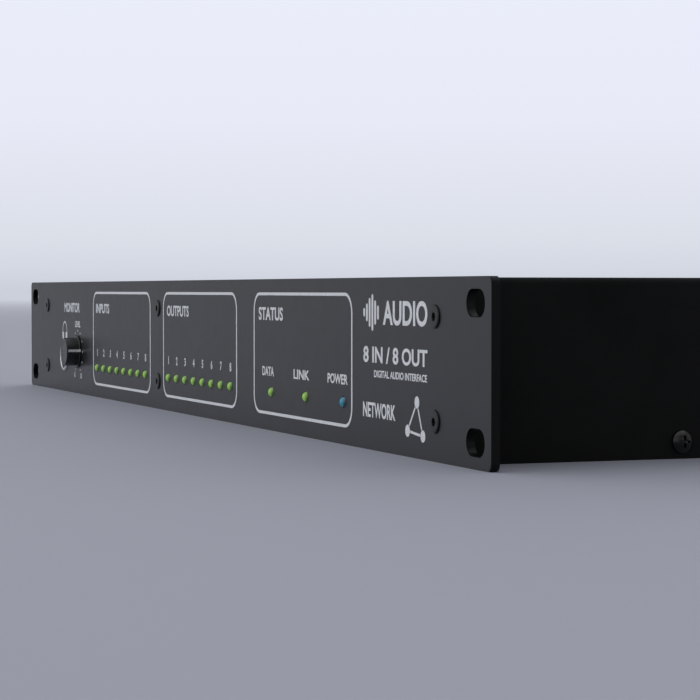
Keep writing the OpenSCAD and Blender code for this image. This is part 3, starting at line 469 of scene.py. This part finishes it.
# ------------------------------------------------------------------ level knob
kc = mid("level_pot_shaft")
KX, KZ = kc.x / MM, kc.z / MM
klo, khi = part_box("level_knob")
KLEN = (YF - klo.y) / MM
KR = 5.5
plo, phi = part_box("level_knob_pointer")
pc = (plo + phi) / 2
KANG = math.atan2(pc.z / MM - KZ, pc.x / MM - KX)
bm = bmesh.new()
prof = rounded_profile([
    (0, -KLEN + 0.10, 0), (3.6, -KLEN + 0.10, 0.8), (4.55, -KLEN, 0.3), (KR, -KLEN, 0.42), (KR, -0.8, 0.06), (6.15, -0.8, 0.05), (6.37, -0.6, 0.12), (6.37, -0.2, 0.08),
    (3.05, -0.2, 0.05), (3.05, -KLEN + 1.2, 0.05), (0, -KLEN + 1.2, 0)], 5)
lathe(bm, prof, KX, KZ, 128)
knob = obj_from(bm, "knob_body", "knob", "level_control", 40, ["level_knob"])

# the pointer: a light line let into the side and across the skirt, standing 0.02 mm proud
bm = bmesh.new()
outer = [(-KLEN + 0.56, KR - 0.01), (-KLEN + 0.62, KR + 0.02), (-0.95, KR + 0.02), (-0.87, KR + 0.04), (-0.83, KR + 0.12), (-0.82, 6.1), (-0.76, 6.2), (-0.64, 6.35), (-0.56, 6.39), (-0.22, 6.39)]
inner = [(-KLEN + 0.56, KR - 0.13), (-KLEN + 0.62, KR - 0.13), (-0.95, KR - 0.13), (-0.80, KR - 0.12), (-0.70, KR - 0.05), (-0.69, 6.0), (-0.65, 6.08), (-0.58, 6.18), (-0.52, 6.24), (-0.22, 6.24)]
W2, steps = 0.5, 5


def knob_point(y, r, across):
    a = KANG + across / r
    return P(KX + r * math.cos(a), y, KZ + r * math.sin(a))


top, bot = ([[bm.verts.new(knob_point(y, r, W2 * (2 * k / steps - 1))) for k in range(steps + 1)] for y, r in line] for line in (outer, inner))
for i in range(len(outer) - 1):
    for k in range(steps):
        bm.faces.new((top[i][k], top[i][k + 1], top[i + 1][k + 1], top[i + 1][k]))
        bm.faces.new((bot[i][k], bot[i + 1][k], bot[i + 1][k + 1], bot[i][k + 1]))
    for k in (0, steps):
        bm.faces.new((top[i][k], top[i + 1][k], bot[i + 1][k], bot[i][k]))
for i in (0, len(outer) - 1):
    for k in range(steps):
        bm.faces.new((top[i][k], top[i][k + 1], bot[i][k + 1], bot[i][k]))
pointer = obj_from(bm, "knob_pointer_line", "pointer", "level_control", 40, ["level_knob_pointer"])

# ------------------------------------------------------------------ headphone socket ring
jc = mid("headphone_jack_ring")
JX, JZ = jc.x / MM, jc.z / MM
bm = bmesh.new()
ring = rounded_profile([(4.57, -0.02, 0), (4.57, -0.66, 0.1), (4.72, -0.8, 0.12), (5.45, -0.8, 0.3), (5.8, -0.45, 0.22), (5.8, -0.01, 0.05), (5.2, -0.01, 0)], 5)
lathe(bm, ring, JX, JZ, 128, closed=True)
jack_ring = obj_from(bm, "socket_ring", "chrome", "chassis", 50, ["headphone_jack_ring"])

# ------------------------------------------------------------------ lamps
LED_Z = mid("power_led").z / MM


def lamps(name, node, mat, xs):
    bm = bmesh.new()
    r = 1.5
    for x in xs:
        dome = [(0, 0.5 - r)] + [(r * math.sin(math.radians(a)), 0.5 - r * math.cos(math.radians(a))) for a in range(7, 91, 7)] + [(r, 0.52), (r, 4.4), (1.95, 4.42), (1.95, 5.4), (0, 5.4)]
        lathe(bm, [Vector(q) for q in dome], x, LED_Z, 40)
        for s in (-1, 1):
            lo, hi = P(x + s - 0.25, 5.3, LED_Z - 0.25), P(x + s + 0.25, 10, LED_Z + 0.25)
            res = bmesh.ops.create_cube(bm, size=1)
            for v in res["verts"]:
                v.co = Vector([lo[i] if v.co[i] < 0 else hi[i] for i in range(3)])
    return obj_from(bm, name, mat, "chassis", 50, [node])


def spaced(node, count):
    lo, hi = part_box(node)
    a, b = lo.x / MM + 1.95, hi.x / MM - 1.95
    return [a + (b - a) * i / max(1, count - 1) for i in range(count)] if count > 1 else [(a + b) / 2]


in_x, out_x, st_x, pw_x = spaced("input_leds", 8), spaced("output_leds", 8), spaced("status_leds", 2), spaced("power_led", 1)
lamps("input_lamps", "input_leds", "led_green", in_x)
lamps("output_lamps", "output_leds", "led_green", out_x)
lamps("status_lamps", "status_leds", "led_green", st_x)
lamps("power_lamp", "power_led", "led_blue", pw_x)

# ------------------------------------------------------------------ printing
INK_T = 0.035            # thickness of the printed ink, mm


def ink_solid(bm, loop, y=0.0, thick=INK_T, holes=(), facing=-1):
    """A printed shape: outline in (x, z) mm, standing on the plane y, towards facing."""
    outer = [(bm.verts.new(P(x, y, z)), bm.verts.new(P(x, y + facing * thick, z))) for x, z in loop]
    n = len(outer)
    if not holes:
        bm.faces.new([v[1] for v in outer])
        bm.faces.new([v[0] for v in reversed(outer)])
        for i in range(n):
            a, b = outer[i], outer[(i + 1) % n]
            bm.faces.new((a[0], b[0], b[1], a[1]))
        return
    inner = [(bm.verts.new(P(x, y, z)), bm.verts.new(P(x, y + facing * thick, z))) for x, z in holes]
    for k in (0, 1):
        for i in range(n):
            bm.faces.new((outer[i][k], outer[(i + 1) % n][k], inner[(i + 1) % n][k], inner[i][k]))
    for ring_ in (outer, inner):
        for i in range(n):
            a, b = ring_[i], ring_[(i + 1) % n]
            bm.faces.new((a[0], b[0], b[1], a[1]))


def round_rect(cx, cz, hw, hh, r, n=10):
    pts = []
    for qx, qz, a0 in ((1, 1, 0), (-1, 1, 90), (-1, -1, 180), (1, -1, 270)):
        for k in range(n + 1):
            a = math.radians(a0 + 90 * k / n)
            pts.append((cx + qx * (hw - r) + r * math.cos(a), cz + qz * (hh - r) + r * math.sin(a)))
    return pts


def circle(cx, cz, r, n=20):
    return [(cx + r * math.cos(2 * math.pi * k / n), cz + r * math.sin(2 * math.pi * k / n)) for k in range(n)]


def words(bm, text, x0, x1, z0, z1, y=0.0, facing=-1, spacing=1.0, fit=True, align="L", bold=0.026):
    """Plain lettering between x0..x1 and z0..z1, as thin solids on the plane y."""
    cu = bpy.data.curves.new("t", "FONT")
    cu.body = text
    cu.size = 1
    cu.extrude = 0.5
    cu.offset = bold
    cu.space_character = spacing
    cu.resolution_u = 5
    ob = bpy.data.objects.new("t", cu)
    scene.collection.objects.link(ob)
    bpy.context.view_layer.update()
    me = bpy.data.meshes.new_from_object(ob.evaluated_get(bpy.context.evaluated_depsgraph_get()))
    bpy.data.objects.remove(ob)
    bpy.data.curves.remove(cu)
    xs = [v.co.x for v in me.vertices]
    ys = [v.co.y for v in me.vertices]
    lx, hx, ly, hy = min(xs), max(xs), min(ys), max(ys)
    k = (z1 - z0) / (hy - ly)
    kx = (x1 - x0) / (hx - lx) if fit else k
    if not fit:
        width = (hx - lx) * k
        if align == "C":
            x0 = (x0 + x1) / 2 - width / 2
        elif align == "R":
            x0 = x1 - width
    tmp = bmesh.new()
    tmp.from_mesh(me)
    for v in tmp.verts:
        px, pz = (v.co.x - lx) * kx, (v.co.y - ly) * k + z0
        px = x0 + px if facing < 0 else (x1 if fit else x0 + (hx - lx) * k) - px
        v.co = P(px, y + facing * (INK_T if v.co.z > 0 else 0), pz)
    bmesh.ops.remove_doubles(tmp, verts=tmp.verts, dist=1e-7)
    out = bpy.data.meshes.new("t")
    tmp.to_mesh(out)
    tmp.free()
    bm.from_mesh(out)
    bpy.data.meshes.remove(out)
    bpy.data.meshes.remove(me)


def ink_obj(bm, name, body="chassis"):
    return obj_from(bm, name, "ink", body, 30)


# frames round the lamp groups
bm = bmesh.new()
for cx in (-88.3, 11.4, 111.4):
    hw, hh, r, t = 41.3, (39.7 - 5.0) / 2, 5.0, 0.42
    cz = (39.7 + 5.0) / 2
    ink_solid(bm, round_rect(cx, cz, hw + t, hh + t, r + t), holes=round_rect(cx, cz, hw - t, hh - t, r - t))
ink_obj(bm, "printed_frames")

bm = bmesh.new()
words(bm, "MONITOR", -178.3, -152.0, 31.9, 35.7)
words(bm, "INPUTS", -125.2, -104.9, 32.0, 35.6)
words(bm, "OUTPUTS", -25.5, 0.75, 32.0, 35.6)
words(bm, "STATUS", 74.5, 96.6, 32.0, 35.85)
words(bm, "LEVEL", -159.9, -151.1, 26.1, 28.5)
words(bm, "DATA", 77.9, 88.5, 15.85, 18.55)
words(bm, "LINK", 106.0, 119.3, 15.85, 18.55)
words(bm, "POWER", 134.1, 149.6, 15.85, 18.55)
ink_obj(bm, "printed_labels")

bm = bmesh.new()
for xs in (in_x, out_x):
    for i, x in enumerate(xs):
        words(bm, str(i + 1), x - 1, x + 1, 15.75, 18.45, fit=False, align="C")
words(bm, "0", KX - 6.1, KX - 3.7, 6.2, 8.4, fit=False, align="C")
words(bm, "10", KX + 3.6, KX + 7.4, 6.0, 8.2, fit=False, align="C")
for k in range(11):
    a = math.radians(240 - 30 * k)
    ink_solid(bm, circle(KX + 8.25 * math.cos(a), KZ + 8.25 * math.sin(a), 0.4))
ink_obj(bm, "printed_numbers")

# headphones symbol
bm = bmesh.new()
hx, hz = (-182 - 173.6) / 2, 24.3
arch_o, arch_i = [], []
for k in range(25):
    a = math.radians(180 - 180 * k / 24)
    arch_o.append((hx + 3.9 * math.cos(a), hz + 3.9 * math.sin(a)))
    arch_i.append((hx + 3.35 * math.cos(a), hz + 3.35 * math.sin(a)))
loop = [(hx - 3.9, hz - 2.2)] + arch_o + [(hx + 3.9, hz - 2.2), (hx + 3.35, hz - 2.2)] + arch_i[::-1] + [(hx - 3.35, hz - 2.2)]
ink_solid(bm, loop)
for s in (-1, 1):
    ink_solid(bm, round_rect(hx + s * 2.85, 22.5, 1.35, 1.4, 0.5, 5), thick=INK_T * 1.01)
ink_obj(bm, "printed_headphones_symbol")

# generic mark: a row of level bars, and plain words
bm = bmesh.new()
for i, h in enumerate((2.2, 4.6, 7.4, 9.4, 6.2, 3.6)):
    ink_solid(bm, round_rect(161.8 + i * 1.95, 35.1, 0.62, h / 2, 0.6, 5))
words(bm, "AUDIO", 175.0, 204.2, 32.0, 38.2)
words(bm, "8 IN / 8 OUT", 161.2, 204.2, 22.3, 26.5)
words(bm, "DIGITAL AUDIO INTERFACE", 168.8, 204.0, 18.65, 20.5)
words(bm, "NETWORK", 161.0, 183.5, 8.3, 12.2)
# three linked dots: the network symbol
dots = [(191.6, 6.4), (201.4, 5.6), (197.6, 13.6)]
for i, (x, z) in enumerate(dots):
    ink_solid(bm, circle(x, z, 1.5, 28))
for (ax, az), (bx, bz) in zip(dots, dots[1:] + dots[:1]):
    d = Vector((bx - ax, bz - az))
    u = d.normalized()
    v = Vector((-u.y, u.x)) * 0.32
    a0, b0 = Vector((ax, az)) + u * 1.7, Vector((bx, bz)) - u * 1.7
    ink_solid(bm, [tuple(a0 + v), tuple(a0 - v), tuple(b0 - v), tuple(b0 + v)])
ink_obj(bm, "printed_generic_marks")

# rear legends
RY = (YR - YF) / MM
bm = bmesh.new()


def rear_words(text, cx, z0, z1):
    words(bm, text, cx - 10, cx + 10, z0, z1, y=RY, facing=1, fit=False, align="C")


for node, text in (("output_terminals", "OUTPUTS"), ("input_terminals", "INPUTS")):
    lo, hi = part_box(node)
    w = (hi.x - lo.x) / MM
    top_z = hi.z / MM
    for k, first in ((0, 5), (1, 1)):
        cx = (lo.x / MM + w * (0.25 if k == 0 else 0.75))
        for c in range(4):
            rear_words(str(first + c), cx + (1.5 - c) * 15.24, top_z + 2.2, top_z + 4.4)
    rear_words(text, (lo.x + hi.x) / 2 / MM, top_z + 8.0, top_z + 10.8)
for x, t in ((82, "1"), (100, "2")):
    rear_words(t, x, 25.5, 27.7)
rear_words("NETWORK", 91, 31.0, 33.6)
sw = mid("power_switch").x / MM
rear_words("POWER", sw, 36.2, 38.4)
ink_obj(bm, "printed_rear_labels")

# ------------------------------------------------------------------ stage
bm = bmesh.new()
rings = [0.0, 0.3, 0.8, 1.6, 3, 6, 12, 25, 60, 120]
prev = None
for r in rings:
    cur = [bm.verts.new((0, 0, 0))] if r == 0 else [bm.verts.new((r * math.cos(2 * math.pi * k / 64), r * math.sin(2 * math.pi * k / 64), 0)) for k in range(64)]
    if prev:
        for k in range(64):
            if len(prev) == 1:
                bm.faces.new((prev[0], cur[k], cur[(k + 1) % 64]))
            else:
                bm.faces.new((prev[k], cur[k], cur[(k + 1) % 64], prev[(k + 1) % 64]))
    prev = cur
me = bpy.data.meshes.new("floor")
bm.to_mesh(me)
bm.free()
floor = bpy.data.objects.new("floor", me)
scene.collection.objects.link(floor)
n = Nodes("floor_sweep")
# The floor pales into the backdrop with distance, as a sweep of paper does
length = n.t.nodes.new("ShaderNodeVectorMath")
length.operation = "LENGTH"
n.link(n.co, length.inputs[0])
far = n.span(length.outputs["Value"], 1.3, 9.0, 0, 1, smooth=True)
n.set(color=(0.414, 0.422, 0.494), rough=0.8, spec=0.12)
glow = n.t.nodes.new("ShaderNodeEmission")
glow.inputs["Color"].default_value = (*srgb(203, 208, 219), 1)
mixer = n.t.nodes.new("ShaderNodeMixShader")
n.link(far, mixer.inputs[0])
n.link(n.bsdf.outputs[0], mixer.inputs[1])
n.link(glow.outputs[0], mixer.inputs[2])
n.link(mixer.outputs[0], n.out.inputs["Surface"])
floor.data.materials.append(n.mat)

# world: what the camera sees behind is a soft vertical gradient; the light it gives is a studio's, brighter overhead and to the left
world = bpy.data.worlds.new("studio")
scene.world = world
world.use_nodes = True
t = world.node_tree
t.nodes.clear()
out = t.nodes.new("ShaderNodeOutputWorld")
co = t.nodes.new("ShaderNodeTexCoord")
sep = t.nodes.new("ShaderNodeSeparateXYZ")
t.links.new(co.outputs["Generated"], sep.inputs[0])
ramp = t.nodes.new("ShaderNodeValToRGB")
mr = t.nodes.new("ShaderNodeMapRange")
mr.inputs["From Min"].default_value, mr.inputs["From Max"].default_value = 0.0, 0.14
t.links.new(sep.outputs["Z"], mr.inputs["Value"])
t.links.new(mr.outputs["Result"], ramp.inputs[0])
cr = ramp.color_ramp
stops = [(0.0, (203, 208, 219)), (0.065, (211, 216, 227)), (0.165, (218, 223, 232)), (0.36, (226, 229, 240)), (0.56, (232, 234, 247)), (1.0, (234, 237, 250))]
while len(cr.elements) < len(stops):
    cr.elements.new(0.5)
for e, (p_, c_) in zip(cr.elements, stops):
    e.position = p_
    e.color = (*srgb(*c_), 1)
bg_seen = t.nodes.new("ShaderNodeBackground")
t.links.new(ramp.outputs[0], bg_seen.inputs["Color"])
bg_lit = t.nodes.new("ShaderNodeBackground")


def sky(op, *values):
    n = t.nodes.new("ShaderNodeMath")
    n.operation = op
    for s, v in zip(n.inputs, values):
        if hasattr(v, "is_output"):
            t.links.new(v, s)
        else:
            s.default_value = v
    return n.outputs[0]


# Broad low light from the left and the back, wide light from the front, next to none from the right
low = t.nodes.new("ShaderNodeMapRange")
low.interpolation_type = "SMOOTHSTEP"
low.inputs["From Min"].default_value, low.inputs["From Max"].default_value = 0.35, 0.65
low.inputs["To Min"].default_value, low.inputs["To Max"].default_value = 1.0, 0.0
t.links.new(sep.outputs["Z"], low.inputs["Value"])
SKY = ((sep.outputs["X"], -1, 0.95, 0.85), (sep.outputs["X"], 1, 0.03, 0), (sep.outputs["Y"], -1, 1.0, 0), (sep.outputs["Y"], 1, 0.5, 0.75), (sep.outputs["Z"], 1, 0.12, 0))
total = 0.0
for axis, sign, level, low_level in SKY:
    gain = sky("MULTIPLY_ADD", low.outputs["Result"], low_level, level) if low_level else level
    total = sky("ADD", total, sky("MULTIPLY", sky("MAXIMUM", sky("MULTIPLY", axis, sign), 0.0), gain))
# Shiny surfaces see a calmer room, brightest ahead of the panel
MIRRORED = ((sep.outputs["X"], -1, 0.02), (sep.outputs["X"], 1, 0.02), (sep.outputs["Y"], -1, 0.66), (sep.outputs["Y"], 1, 0.25), (sep.outputs["Z"], 1, 0.15))
calm = 0.132
for axis, sign, level in MIRRORED:
    calm = sky("ADD", calm, sky("MULTIPLY", sky("MAXIMUM", sky("MULTIPLY", axis, sign), 0.0), level))
over = t.nodes.new("ShaderNodeMapRange")
over.interpolation_type = "SMOOTHSTEP"
over.inputs["From Min"].default_value, over.inputs["From Max"].default_value = 0.68, 0.84
over.inputs["To Min"].default_value, over.inputs["To Max"].default_value = 0.0, 0.55
t.links.new(sep.outputs["Z"], over.inputs["Value"])
calm = sky("ADD", calm, over.outputs["Result"])
lp = t.nodes.new("ShaderNodeLightPath")
total = sky("ADD", sky("MULTIPLY", calm, lp.outputs["Is Glossy Ray"]), sky("MULTIPLY", total, sky("SUBTRACT", 1.0, lp.outputs["Is Glossy Ray"])))
bg_lit.inputs["Color"].default_value = (0.95, 0.97, 1.0, 1)
t.links.new(total, bg_lit.inputs["Strength"])
mx = t.nodes.new("ShaderNodeMixShader")
t.links.new(lp.outputs["Is Camera Ray"], mx.inputs[0])
t.links.new(bg_lit.outputs[0], mx.inputs[1])
t.links.new(bg_seen.outputs[0], mx.inputs[2])
t.links.new(mx.outputs[0], out.inputs["Surface"])


def area(name, at, aim, size, power, color=(1, 1, 1)):
    d = bpy.data.lights.new(name, "AREA")
    d.shape = "RECTANGLE"
    d.size, d.size_y = size
    d.energy = power
    d.color = color
    o = bpy.data.objects.new(name, d)
    scene.collection.objects.link(o)
    o.location = at
    o.rotation_euler = (Vector(aim) - Vector(at)).to_track_quat("-Z", "Y").to_euler()
    return o


# a small strip behind the camera's right shoulder gives the glints on screws and knob
area("strip", P(-155.6, 0, 16.5) + Vector((0.944, 0.23, 0.235)) * 3.0, P(-155.6, 0, 16.5), (0.5, 0.14), 1.0)
